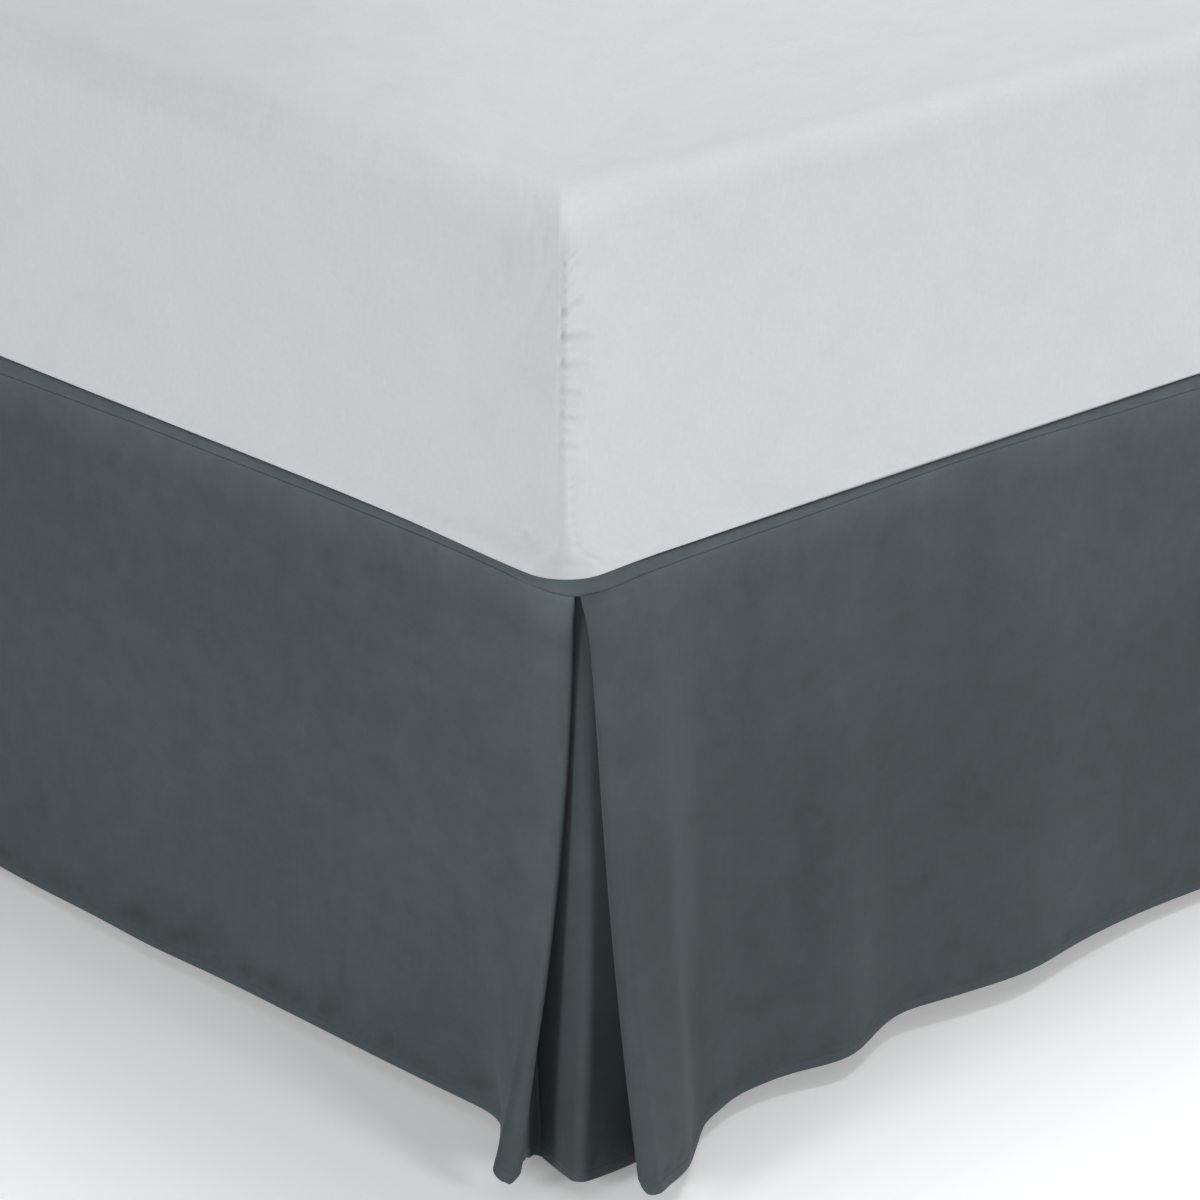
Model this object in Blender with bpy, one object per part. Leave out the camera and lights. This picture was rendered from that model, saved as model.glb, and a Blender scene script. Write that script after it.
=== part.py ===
# Bed skirt on a plain bed: a cloth deck lies over a box spring, under the mattress, and three drops hang
# from the deck's edge at both sides and the foot. The head end is open. An inverted pleat with a cloth
# insert closes each foot corner: it is folded flat at the seam and falls open towards the hem.
#
# X runs across the bed, +Y towards its head and +Z up, with z = 0 at the floor. At a foot corner, plan
# places are given from the square corner of the seam: p outward past the side, q towards the head.
# Along the seam round such a corner, u is the distance from the middle of its arc, below zero on the
# foot, and n is the depth inside the seam.

import math

import bmesh
import bpy

# Bed, in metres
BED_WIDTH = 1.52
BED_LENGTH = 2.03
CENTRE_X = -0.004
FOOT_Y = -0.990
HEAD_Y = FOOT_Y + BED_LENGTH
CORNER_RADIUS = 0.050
HALF_ARC = CORNER_RADIUS * math.pi / 4

# Levels, in metres above the floor
LEG_TOP = 0.180
BOX_TOP = 0.3940
DECK_MIDDLE = 0.3952
MATTRESS_BOTTOM = 0.3964
MATTRESS_EDGE_TOP = 0.634
MATTRESS_CROWN = 0.016
CLEARANCE = 0.0003

# Cloth, in metres
CLOTH_THICKNESS = 0.0016
DROP_LENGTH = 0.3765
PLEAT_EXTRA_LENGTH = 0.007
SEAM_LEVEL = 0.3885
SEAM_GAP = 0.0006
DECK_EDGE_RADIUS = 0.0016
MID_SHARE = 0.42

# Plain bed under the skirt, in metres
BOX_INSET = 0.0170
BOX_EDGE = 0.006
MATTRESS_CORNER_RADIUS = 0.034
MATTRESS_ROUND_TOP = 0.030
MATTRESS_TOP_RINGS = (0.93, 0.86, 0.72, 0.5)
MATTRESS_ROUND_BOTTOM = 0.006
LEG_TOP_RADIUS = 0.030
LEG_FOOT_RADIUS = 0.021
LEG_INSET = 0.150
LEG_SIDES = 20

# Dips of the seam below its level: place along the seam, depth and half width, in metres. On a side the
# place is the distance from the square corner, and on the foot it is the X place from the bed's middle.
FOOT_SEAM_DIPS = (
    # at, depth, width
    (-0.58, 0.0022, 0.13),
    (-0.33, -0.0028, 0.12),
    (0.14, 0.0045, 0.16),
    (0.59, -0.0010, 0.10),
)
SIDE_SEAM_DIPS = (
    # at, depth, width
    (0.36, -0.0038, 0.13),
    (0.70, 0.0022, 0.14),
    (1.02, -0.0030, 0.16),
    (1.38, 0.0026, 0.15),
    (1.74, -0.0024, 0.14),
)
# The seam also sags at each foot corner, by distance along it from the middle of the corner's arc
CORNER_SEAM_DIPS = (
    # at, depth, width
    (0.002, 0.0058, 0.026),
    (0.012, 0.0024, 0.070),
)

# Soft waves of the hem, measured outward from the seam: place, height and half width, in metres
FOOT_HEM_BASE = -0.002
FOOT_HEM_WAVES = (
    # at, out, width
    (-0.60, -0.003, 0.06),
    (-0.46, 0.004, 0.05),
    (-0.24, -0.004, 0.06),
    (-0.05, 0.005, 0.07),
    (0.14, -0.004, 0.07),
    (0.355, 0.003, 0.055),
    (0.67, -0.003, 0.05),
)
SIDE_HEM_BASE = 0.020
RIGHT_HEM_WAVES = (
    # at, out, width
    (0.228, 0.0145, 0.034),
    (0.303, -0.0065, 0.028),
    (0.408, 0.0105, 0.055),
    (0.560, -0.0050, 0.080),
    (0.745, 0.0080, 0.055),
    (0.890, -0.0070, 0.045),
    (1.060, 0.0100, 0.070),
    (1.245, -0.0065, 0.050),
    (1.410, 0.0090, 0.060),
    (1.600, -0.0060, 0.055),
    (1.780, 0.0070, 0.070),
    (1.950, -0.0050, 0.060),
)
LEFT_HEM_WAVES = (
    # at, out, width
    (0.255, 0.0100, 0.045),
    (0.390, -0.0060, 0.040),
    (0.540, 0.0085, 0.060),
    (0.720, -0.0060, 0.055),
    (0.905, 0.0095, 0.060),
    (1.090, -0.0060, 0.050),
    (1.270, 0.0075, 0.070),
    (1.480, -0.0070, 0.060),
    (1.670, 0.0090, 0.055),
    (1.860, -0.0045, 0.070),
)

# Folds of a corner pleat, walked from the foot panel to the side panel. turn is 1 for a fold that stands
# out and -1 for one that lies back. Each level gives the centre (p, q) and radius r of the fold, in
# millimetres; a radius of 0 is a plain bend. split marks the folds that the cloth is measured between.
PLEAT_FOLDS = (
    # name, turn, split, half height (p, q, r), hem (p, q, r)
    ("foot bend", -1, False, (-62, 1.5, 0), (-72, -27, 35)),
    ("foot fold", 1, True, (-12.8, 4.4, 1.9), (5, -49, 8)),
    ("foot valley", -1, True, (-47, 6.8, 1.6), (-8, -12, 4)),
    ("crest", 1, True, (-1.8, 22.0, 6), (33, -13, 6)),
    ("side valley", -1, True, (15, 55, 3), (41, 33, 4)),
    ("side fold", 1, True, (32.5, 11, 6), (88.5, -7, 7)),
    ("side roll", 1, False, (38, 50, 0), (53, 32, 22)),
    ("side bend", -1, False, (42, 108, 30), (50, 106, 20)),
)
PLEAT_START_P = -150.0
PLEAT_END_Q = 139.0
TOP_FOLD_RADIUS = 1.35
TOP_FOOT_FOLD_U = 0.5
TOP_SIDE_FOLD_U = 8.0
TOP_FOOT_VALLEY_U = -51.0
TOP_SIDE_VALLEY_U = 64.0
TOP_CREST_U = 8.0
TOP_CREST_DEPTH = 7.4
TOP_BEND_U = 60.0
TOP_ROLL_U = 36.0
JOIN_SHARE = 0.14
JOIN_GAP_SHARE = 0.012
LEFT_PLEAT_SCALE = 0.86
EARLY_OPENING = 0.15
EARLY_DEPTH = 0.05
ARC_STEP = math.radians(9)

# Mesh density
ROWS = 8
PANEL_STEP = 0.032
DECK_STEP = 0.040
CORNER_STEPS = 8
FOLD_STEPS = 9
RETURN_STEPS = 7
INSERT_STEPS = 6
DECK_TURN_STEPS = 3
BLOCK_EDGE_STEPS = 2
MATTRESS_EDGE_STEPS = 4
SHARP_EDGE = math.radians(40)
LEVEL_TOLERANCE = 1e-5

STEEL_BLUE = (0.064, 0.078, 0.084, 1)
WHITE_COTTON = (0.60, 0.62, 0.63, 1)
TICKING = (0.55, 0.54, 0.51, 1)
WOOD = (0.20, 0.12, 0.07, 1)
SKIRT_ROUGHNESS = 0.85
COTTON_ROUGHNESS = 0.8
TICKING_ROUGHNESS = 0.9
WOOD_ROUGHNESS = 0.5


def waves(place, rows):
    """Sum of soft bumps, each a row of (at, height, width)."""
    return sum(height * math.exp(-(((place - at) / width) ** 2)) for at, height, width in rows)


def mixed(a, b, share):
    """Point that lies the given share of the way from a to b."""
    return tuple(one + (two - one) * share for one, two in zip(a, b))


class Corner:
    """One foot corner of the bed: side is 1 on the right (+X) and -1 on the left."""

    def __init__(self, side, hem_waves, fold_scale):
        self.side = side
        self.hem_waves = hem_waves
        self.fold_scale = fold_scale

    def world(self, p, q):
        return (CENTRE_X + self.side * (BED_WIDTH / 2 + p), FOOT_Y + q)

    def foot_out(self, p):
        return FOOT_HEM_BASE + waves(self.side * (BED_WIDTH / 2 + p), FOOT_HEM_WAVES)

    def side_out(self, q):
        return SIDE_HEM_BASE + waves(q, self.hem_waves)


RIGHT = Corner(1, RIGHT_HEM_WAVES, 1.0)
LEFT = Corner(-1, LEFT_HEM_WAVES, LEFT_PLEAT_SCALE)


def seam_point(u, n=0.0):
    """Plan place (p, q) at distance u along the seam round a corner, n inside it."""
    if u < -HALF_ARC:
        return (u + HALF_ARC - CORNER_RADIUS, n)
    if u > HALF_ARC:
        return (-n, u - HALF_ARC + CORNER_RADIUS)
    angle = u / CORNER_RADIUS - math.pi / 4
    reach = CORNER_RADIUS - n
    return (reach * math.cos(angle) - CORNER_RADIUS, CORNER_RADIUS + reach * math.sin(angle))


def seam_height(corner, u):
    """Level of the seam at u along a corner's seam."""
    p, q = seam_point(u)
    dips = waves(u, CORNER_SEAM_DIPS) + waves(q, SIDE_SEAM_DIPS)
    return SEAM_LEVEL - dips - waves(corner.side * (BED_WIDTH / 2 + p), FOOT_SEAM_DIPS)


def belt_path(folds):
    """Path laid round folds like a belt round pulleys, from rows of (turn, split, x, y, radius).

    Returns its points and the distances along it of its two ends and of the folds that split it.
    """
    heads = []
    for (turn_a, _, xa, ya, ra), (turn_b, _, xb, yb, rb) in zip(folds, folds[1:]):
        reach = math.hypot(xb - xa, yb - ya)
        heads.append(math.atan2(yb - ya, xb - xa) + math.asin((turn_a * ra - turn_b * rb) / reach))
    points = [folds[0][2:4]]
    middles = []
    for (turn, split, x, y, radius), head_in, head_out in zip(folds[1:-1], heads, heads[1:]):
        sweep = (turn * (head_out - head_in)) % (2 * math.pi) if radius else 0.0
        steps = 2 * max(1, math.ceil(sweep / ARC_STEP / 2)) if radius else 0
        for step in range(steps + 1):
            head = head_in + turn * sweep * step / max(steps, 1)
            reach = turn * radius
            points.append((x + reach * math.sin(head), y - reach * math.cos(head)))
        if split:
            middles.append(len(points) - 1 - steps // 2)
    points.append(folds[-1][2:4])
    runs = [0.0]
    for a, b in zip(points, points[1:]):
        runs.append(runs[-1] + math.dist(a, b))
    return points, runs, [0.0] + [runs[index] for index in middles] + [runs[-1]]


def along_path(path, place):
    """Point of a belt path at place, a whole number at each split and fractions between."""
    points, runs, marks = path
    section = min(int(place), len(marks) - 2)
    run = marks[section] + (marks[section + 1] - marks[section]) * (place - section)
    index = 1
    while index < len(runs) - 1 and runs[index] < run:
        index += 1
    share = (run - runs[index - 1]) / (runs[index] - runs[index - 1])
    return mixed(points[index - 1], points[index], share)


def pleat_paths(corner):
    """Belt paths of a corner pleat at the seam, at half height and at the hem, in millimetres."""
    r = TOP_FOLD_RADIUS
    top_places = {
        "foot bend": (-TOP_BEND_U, 0, 0),
        "foot fold": (TOP_FOOT_FOLD_U, r, r),
        "foot valley": (TOP_FOOT_VALLEY_U, 3 * r, r),
        "crest": (TOP_CREST_U, TOP_CREST_DEPTH, 0),
        "side valley": (TOP_SIDE_VALLEY_U, 3 * r, r),
        "side fold": (TOP_SIDE_FOLD_U, r, r),
        "side roll": (TOP_ROLL_U, 0, 0),
        "side bend": (TOP_BEND_U, 0, 0),
    }
    arc_shift = (HALF_ARC - CORNER_RADIUS) * 1000
    foot_q = -corner.foot_out(PLEAT_START_P / 1000) * 1000
    side_p = corner.side_out(PLEAT_END_Q / 1000) * 1000
    tops = [(1, False, PLEAT_START_P - arc_shift, 0, 0)]
    mids = [(1, False, PLEAT_START_P, foot_q * MID_SHARE, 0)]
    hems = [(1, False, PLEAT_START_P, foot_q, 0)]
    for name, turn, split, mid, hem in PLEAT_FOLDS:
        tops.append((turn, split) + top_places[name])
        mids.append((turn, split) + mid)
        grown = 1.0 if "bend" in name else corner.fold_scale
        hems.append((turn, split) + tuple(value * grown for value in hem))
    tops.append((1, False, PLEAT_END_Q + arc_shift, 0, 0))
    mids.append((1, False, side_p * MID_SHARE, PLEAT_END_Q, 0))
    hems.append((1, False, side_p, PLEAT_END_Q, 0))
    return [belt_path(level) for level in (tops, mids, hems)]


def pleat_column(corner, paths, place):
    """One upright line of the cloth in a pleat: its plan places at three levels and its seam height."""
    u, n = (value / 1000 for value in along_path(paths[0], place))
    mid = (value / 1000 for value in along_path(paths[1], place))
    hem = (value / 1000 for value in along_path(paths[2], place))
    late = min(max(place - 3.5, 0.0) / 1.5, 1.0) * min(6.0 - place, 1.0)
    inside = min(place, 1.0) * min(6.0 - place, 1.0)
    return {
        "top": corner.world(*seam_point(u, n)),
        "mid": corner.world(*mid),
        "hem": corner.world(*hem),
        "seam": seam_height(corner, u),
        "early": EARLY_OPENING * late,
        "length": DROP_LENGTH + PLEAT_EXTRA_LENGTH * inside - waves(u, CORNER_SEAM_DIPS),
    }


def foot_column(corner, p):
    """One upright line of the foot drop's panel, at p from a corner."""
    hem_q = -corner.foot_out(p)
    return {
        "top": corner.world(p, 0.0),
        "mid": corner.world(p, hem_q * MID_SHARE),
        "hem": corner.world(p, hem_q),
        "seam": seam_height(corner, p - HALF_ARC + CORNER_RADIUS),
        "early": 0.0,
        "length": DROP_LENGTH,
    }


def side_column(corner, q):
    """One upright line of a side drop's panel, at q from a corner."""
    hem_p = corner.side_out(q)
    return {
        "top": corner.world(0.0, q),
        "mid": corner.world(hem_p * MID_SHARE, q),
        "hem": corner.world(hem_p, q),
        "seam": seam_height(corner, q + HALF_ARC - CORNER_RADIUS),
        "early": 0.0,
        "length": DROP_LENGTH,
    }


def plan_at(column, level):
    """Plan place of a column at a level from 0 at the seam to 1 at the hem."""
    level += column["early"] * (1 - math.exp(-level / EARLY_DEPTH)) * (1 - level)
    top_part = (1 - level) * (1 - 2 * level)
    mid_part = 4 * level * (1 - level)
    hem_part = level * (2 * level - 1)
    return tuple(
        top * top_part + mid * mid_part + hem * hem_part
        for top, mid, hem in zip(column["top"], column["mid"], column["hem"])
    )


def hung_points(column, rows):
    """Points down a column, which keeps its cloth length as it leans outward."""
    step = column["length"] / rows
    height = column["seam"]
    last = plan_at(column, 0.0)
    points = [(*last, height)]
    for row in range(1, rows + 1):
        place = plan_at(column, row / rows)
        height -= math.sqrt(step**2 - math.dist(place, last) ** 2)
        points.append((*place, height))
        last = place
    return points


def spaced(first, last, count, tight_first=False, tight_last=False):
    """Places from first to last, closer together at a tight end."""
    places = []
    for index in range(count + 1):
        share = index / count
        if tight_first and tight_last:
            share = 0.5 - 0.5 * math.cos(math.pi * share)
        elif tight_last:
            share = math.sin(math.pi / 2 * share)
        elif tight_first:
            share = 1 - math.cos(math.pi / 2 * share)
        places.append(first + (last - first) * share)
    return places


def even_places(first, last, step):
    """Places from first to last at about the given step, without either end."""
    count = max(2, round((last - first) / step))
    return [first + (last - first) * index / count for index in range(1, count)]


def cloth_material(name, colour, roughness):
    material = bpy.data.materials.new(name)
    material.use_nodes = True
    shader = material.node_tree.nodes["Principled BSDF"]
    shader.inputs["Base Color"].default_value = colour
    shader.inputs["Roughness"].default_value = roughness
    shader.inputs["Metallic"].default_value = 0.0
    return material


def finish_object(name, bm, colour, roughness):
    """Turn a bmesh into a named object with its own material, shaded smooth but for sharp edges."""
    mesh = bpy.data.meshes.new(name)
    bm.to_mesh(mesh)
    bm.free()
    mesh.shade_smooth()
    mesh.set_sharp_from_angle(angle=SHARP_EDGE)
    mesh.materials.append(cloth_material(name + "_material", colour, roughness))
    piece = bpy.data.objects.new(name, mesh)
    bpy.context.scene.collection.objects.link(piece)
    return piece


def thicken(piece):
    """Give a cloth surface its thickness, half to each side."""
    solidify = piece.modifiers.new("cloth thickness", "SOLIDIFY")
    solidify.thickness = CLOTH_THICKNESS
    solidify.offset = 0.0


def make_drop(name, columns):
    """A hanging piece of cloth from its columns, side by side."""
    bm = bmesh.new()
    bmesh.ops.create_grid(bm, x_segments=len(columns) - 1, y_segments=ROWS, size=1)
    lines = [hung_points(column, ROWS) for column in columns]
    for vert in bm.verts:
        column = round((vert.co.x + 1) / 2 * (len(columns) - 1))
        row = round((1 - vert.co.y) / 2 * ROWS)
        vert.co = lines[column][row]
    thicken(finish_object(name, bm, STEEL_BLUE, SKIRT_ROUGHNESS))


def foot_end_columns(corner, paths):
    """The foot drop's turn into a pleat: its fold, its return and the join to the insert."""
    places = spaced(0.0, 1.0, FOLD_STEPS, tight_last=True)
    places += spaced(1.0, 2.0, RETURN_STEPS, tight_first=True, tight_last=True)[1:]
    places += [2.0 + JOIN_SHARE / 3, 2.0 + JOIN_SHARE]
    return [pleat_column(corner, paths, place) for place in places]


def insert_columns(corner, paths):
    first = 2.0 + JOIN_SHARE + JOIN_GAP_SHARE
    last = 4.0 - JOIN_SHARE - JOIN_GAP_SHARE
    places = spaced(first, 3.0, INSERT_STEPS) + spaced(3.0, last, INSERT_STEPS)[1:]
    return [pleat_column(corner, paths, place) for place in places]


def side_start_columns(corner, paths):
    """A side drop's start in a pleat: the join to the insert, its return and its fold."""
    places = [4.0 - JOIN_SHARE, 4.0 - JOIN_SHARE / 3]
    places += spaced(4.0, 5.0, RETURN_STEPS, tight_first=True, tight_last=True)
    places += spaced(5.0, 6.0, FOLD_STEPS, tight_first=True)[1:]
    return [pleat_column(corner, paths, place) for place in places]


def make_drops():
    right_paths = pleat_paths(RIGHT)
    left_paths = pleat_paths(LEFT)
    start_p = PLEAT_START_P / 1000
    half_foot = BED_WIDTH / 2 + start_p
    foot = list(reversed(foot_end_columns(LEFT, left_paths)))
    foot += [foot_column(RIGHT, x - BED_WIDTH / 2) for x in even_places(-half_foot, half_foot, PANEL_STEP)]
    foot += foot_end_columns(RIGHT, right_paths)
    make_drop("drop_foot", foot)
    sides = (("right", RIGHT, right_paths), ("left", LEFT, left_paths))
    for word, corner, paths in sides:
        side = side_start_columns(corner, paths)
        places = even_places(PLEAT_END_Q / 1000, BED_LENGTH, PANEL_STEP) + [BED_LENGTH]
        side += [side_column(corner, q) for q in places]
        make_drop("drop_" + word, side)
        make_drop("pleat_insert_" + word, insert_columns(corner, paths))


def make_deck():
    """Cloth over the box spring whose edge turns down to the seam at the sides and the foot."""
    side_us = [HALF_ARC + q for q in even_places(0.0, BED_LENGTH - CORNER_RADIUS, DECK_STEP)]
    side_us.append(HALF_ARC + BED_LENGTH - CORNER_RADIUS)
    arc_us = [HALF_ARC * (2 * step / CORNER_STEPS - 1) for step in range(CORNER_STEPS + 1)]
    foot_reach = BED_WIDTH / 2 - CORNER_RADIUS
    stations = [(LEFT, u) for u in reversed(arc_us + side_us)]
    stations += [(RIGHT, x - foot_reach - HALF_ARC) for x in even_places(-foot_reach, foot_reach, DECK_STEP)]
    stations += [(RIGHT, u) for u in arc_us + side_us]
    turn = [math.pi / 2 * step / DECK_TURN_STEPS for step in range(DECK_TURN_STEPS + 1)]
    drops = [(DECK_EDGE_RADIUS * (1 - math.sin(angle)), DECK_EDGE_RADIUS * (1 - math.cos(angle)))
             for angle in turn]
    bm = bmesh.new()
    rows = len(drops) + 1
    bmesh.ops.create_grid(bm, x_segments=len(stations) - 1, y_segments=rows - 1, size=1)
    top_edge = {}
    for vert in bm.verts:
        index = round((vert.co.x + 1) / 2 * (len(stations) - 1))
        row = round((1 - vert.co.y) / 2 * (rows - 1))
        corner, u = stations[index]
        if row < len(drops):
            inset, fall = drops[row]
            height = DECK_MIDDLE - fall
        else:
            inset = 0.0
            height = seam_height(corner, u) + SEAM_GAP
        vert.co = (*corner.world(*seam_point(u, inset)), height)
        if row == 0:
            top_edge[index] = vert
    bmesh.ops.contextual_create(bm, geom=[top_edge[index] for index in sorted(top_edge)])
    bmesh.ops.recalc_face_normals(bm, faces=bm.faces)
    thicken(finish_object("deck", bm, STEEL_BLUE, SKIRT_ROUGHNESS))


def rounded_block(width, length, low, high, corner_radius, round_top, round_bottom, steps):
    """Closed block with rounded corners and soft edges, centred over the bed."""
    bm = bmesh.new()
    bmesh.ops.create_cube(bm, size=1)
    middle_y = (FOOT_Y + HEAD_Y) / 2
    for vert in bm.verts:
        x, y, z = vert.co
        vert.co = (CENTRE_X + x * width, middle_y + y * length, (low + high) / 2 + z * (high - low))
    upright = [edge for edge in bm.edges if abs(edge.verts[0].co.z - edge.verts[1].co.z) > LEVEL_TOLERANCE]
    bmesh.ops.bevel(bm, geom=upright, affect="EDGES", offset=corner_radius, segments=CORNER_STEPS,
                    profile=0.5, material=-1)
    for level, reach in ((high, round_top), (low, round_bottom)):
        rim = [edge for edge in bm.edges
               if all(abs(vert.co.z - level) < LEVEL_TOLERANCE for vert in edge.verts)]
        bmesh.ops.bevel(bm, geom=rim, affect="EDGES", offset=reach, segments=steps, profile=0.5,
                        material=-1)
    return bm


def make_mattress():
    """Mattress in its fitted sheet: soft edges and a slightly crowned top."""
    bm = rounded_block(BED_WIDTH, BED_LENGTH, MATTRESS_BOTTOM, MATTRESS_EDGE_TOP,
                       MATTRESS_CORNER_RADIUS, MATTRESS_ROUND_TOP, MATTRESS_ROUND_BOTTOM,
                       MATTRESS_EDGE_STEPS)
    middle_y = (FOOT_Y + HEAD_Y) / 2
    half_x = BED_WIDTH / 2 - MATTRESS_ROUND_TOP
    half_y = BED_LENGTH / 2 - MATTRESS_ROUND_TOP
    top = max(bm.faces, key=lambda face: face.calc_center_median().z)
    for share in MATTRESS_TOP_RINGS:
        ring = bmesh.ops.extrude_face_region(bm, geom=[top])["geom"]
        bmesh.ops.delete(bm, geom=[top], context="FACES_ONLY")
        top = next(item for item in ring if isinstance(item, bmesh.types.BMFace))
        for vert in top.verts:
            across = (vert.co.x - CENTRE_X) * share
            along = (vert.co.y - middle_y) * share
            crown = max(0.0, (1 - (across / half_x) ** 4) * (1 - (along / half_y) ** 4)) ** 0.5
            vert.co = (CENTRE_X + across, middle_y + along, MATTRESS_EDGE_TOP + MATTRESS_CROWN * crown)
    bmesh.ops.triangulate(bm, faces=bm.faces)
    finish_object("mattress", bm, WHITE_COTTON, COTTON_ROUGHNESS)


def make_box_spring():
    bm = rounded_block(BED_WIDTH - 2 * BOX_INSET, BED_LENGTH - 2 * BOX_INSET, LEG_TOP, BOX_TOP,
                       CORNER_RADIUS - BOX_INSET, BOX_EDGE, BOX_EDGE, BLOCK_EDGE_STEPS)
    finish_object("box_spring", bm, TICKING, TICKING_ROUGHNESS)


def make_legs():
    reach_x = BED_WIDTH / 2 - LEG_INSET
    height = LEG_TOP - CLEARANCE
    places = {
        "foot_left": (-reach_x, FOOT_Y + LEG_INSET),
        "foot_right": (reach_x, FOOT_Y + LEG_INSET),
        "middle": (0.0, (FOOT_Y + HEAD_Y) / 2),
        "head_left": (-reach_x, HEAD_Y - LEG_INSET),
        "head_right": (reach_x, HEAD_Y - LEG_INSET),
    }
    for word, (x, y) in places.items():
        bm = bmesh.new()
        bmesh.ops.create_cone(bm, cap_ends=True, segments=LEG_SIDES, radius1=LEG_FOOT_RADIUS,
                              radius2=LEG_TOP_RADIUS, depth=height)
        leg = finish_object("leg_" + word, bm, WOOD, WOOD_ROUGHNESS)
        leg.location = (CENTRE_X + x, y, height / 2)


for leftover in list(bpy.data.objects):
    bpy.data.objects.remove(leftover, do_unlink=True)
make_legs()
make_box_spring()
make_deck()
make_drops()
make_mattress()
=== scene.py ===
import math
import random

import bmesh
import bpy
from mathutils import Matrix, Vector


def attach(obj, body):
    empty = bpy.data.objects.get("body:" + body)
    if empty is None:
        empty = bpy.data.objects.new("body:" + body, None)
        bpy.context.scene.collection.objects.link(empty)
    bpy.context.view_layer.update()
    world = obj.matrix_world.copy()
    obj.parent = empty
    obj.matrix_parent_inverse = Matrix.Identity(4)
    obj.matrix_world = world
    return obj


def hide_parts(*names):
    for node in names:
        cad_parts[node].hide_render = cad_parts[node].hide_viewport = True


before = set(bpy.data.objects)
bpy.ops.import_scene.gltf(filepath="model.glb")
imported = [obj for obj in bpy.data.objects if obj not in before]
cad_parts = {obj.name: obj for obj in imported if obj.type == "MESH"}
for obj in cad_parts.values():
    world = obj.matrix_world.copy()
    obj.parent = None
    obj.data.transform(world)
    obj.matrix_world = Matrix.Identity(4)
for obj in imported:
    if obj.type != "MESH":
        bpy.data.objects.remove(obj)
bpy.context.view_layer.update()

# Metres, +Y towards the head, z = 0 at the floor. Round a foot corner, plan places are (p, q) from the
# square corner of the seam: p outward past the side, q towards the head. u runs along the seam from the
# middle of the corner's arc, below zero on the foot, and n is the depth inside the seam.
bed = {
    "width": 1.52, "length": 2.03, "centreX": -0.004, "footY": -0.990, "corner": 0.050,
    "deckMiddle": 0.3952, "mattressBottom": 0.3964,
}
halfWidth = bed["width"] / 2
halfArc = bed["corner"] * math.pi / 4
headY = bed["footY"] + bed["length"]
middleY = (bed["footY"] + headY) / 2


def bell(distance, width):
    return math.exp(-((distance / width) ** 2))


def waves(place, rows):
    # sum of soft bumps: at, height, half width
    return sum(height * bell(place - at, width) for at, height, width in rows)


def metres(*rows):
    # rows given in millimetres
    return [tuple(value / 1000 for value in row) for row in rows]


def clamped(value):
    return min(max(value, 0.0), 1.0)


def rowShare(rows, at):
    # value at a place in rows of (place, value), eased between them
    for (low, valueLow), (high, valueHigh) in zip(rows, rows[1:]):
        if at <= high:
            break
    share = clamped((at - low) / (high - low))
    return valueLow + (valueHigh - valueLow) * share * share * (3 - 2 * share)


# ---- camera, light and floor
view = {
    "aim": (0.756, -0.990, 0.397), "across": -0.018, "up": 0.010, "distance": 2.818,
    "azimuth": 45.48, "elevation": 21.57, "roll": 1.30, "lens": 141.24, "sensor": 36, "clipEnd": 60,
}


def makeCamera():
    az, el, roll = (math.radians(view[key]) for key in ("azimuth", "elevation", "roll"))
    ahead = Vector((-math.sin(az) * math.cos(el), math.cos(az) * math.cos(el), -math.sin(el)))
    right = Vector((math.cos(az), math.sin(az), 0))
    up = right.cross(ahead)
    right, up = right * math.cos(roll) + up * math.sin(roll), up * math.cos(roll) - right * math.sin(roll)
    place = Vector(view["aim"]) - right * view["across"] - up * view["up"] - ahead * view["distance"]
    data = bpy.data.cameras.new("camera")
    data.lens = view["lens"]
    data.sensor_width = view["sensor"]
    data.clip_end = view["clipEnd"]
    camera = bpy.data.objects.new("camera", data)
    camera.matrix_world = Matrix((
        (right.x, up.x, -ahead.x, place.x),
        (right.y, up.y, -ahead.y, place.y),
        (right.z, up.z, -ahead.z, place.z),
        (0, 0, 0, 1),
    ))
    bpy.context.scene.collection.objects.link(camera)
    bpy.context.scene.camera = camera


studio = {
    "worldColour": (0.970, 0.985, 1.0), "worldStrength": 0.258,
    "lamps": (
        # name, place, aim, size, power, colour
        ("right", (8.4, -0.5, 2.8), (0.6, -0.6, 0.3), 2.4, 267, (1.0, 0.995, 0.99)),
        ("left", (1.05, -8.4, 2.8), (0.4, -0.8, 0.3), 1.9, 222, (0.985, 0.995, 1.0)),
        ("top", (0.1, 0.9, 4.6), (0.3, -0.2, 0.5), 2.6, 122, (1.0, 1.0, 1.0)),
    ),
    "floorHalf": 14.0, "floorColour": (0.95, 0.955, 0.96), "floorRoughness": 0.9, "floorGlow": 0.19,
}


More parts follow.
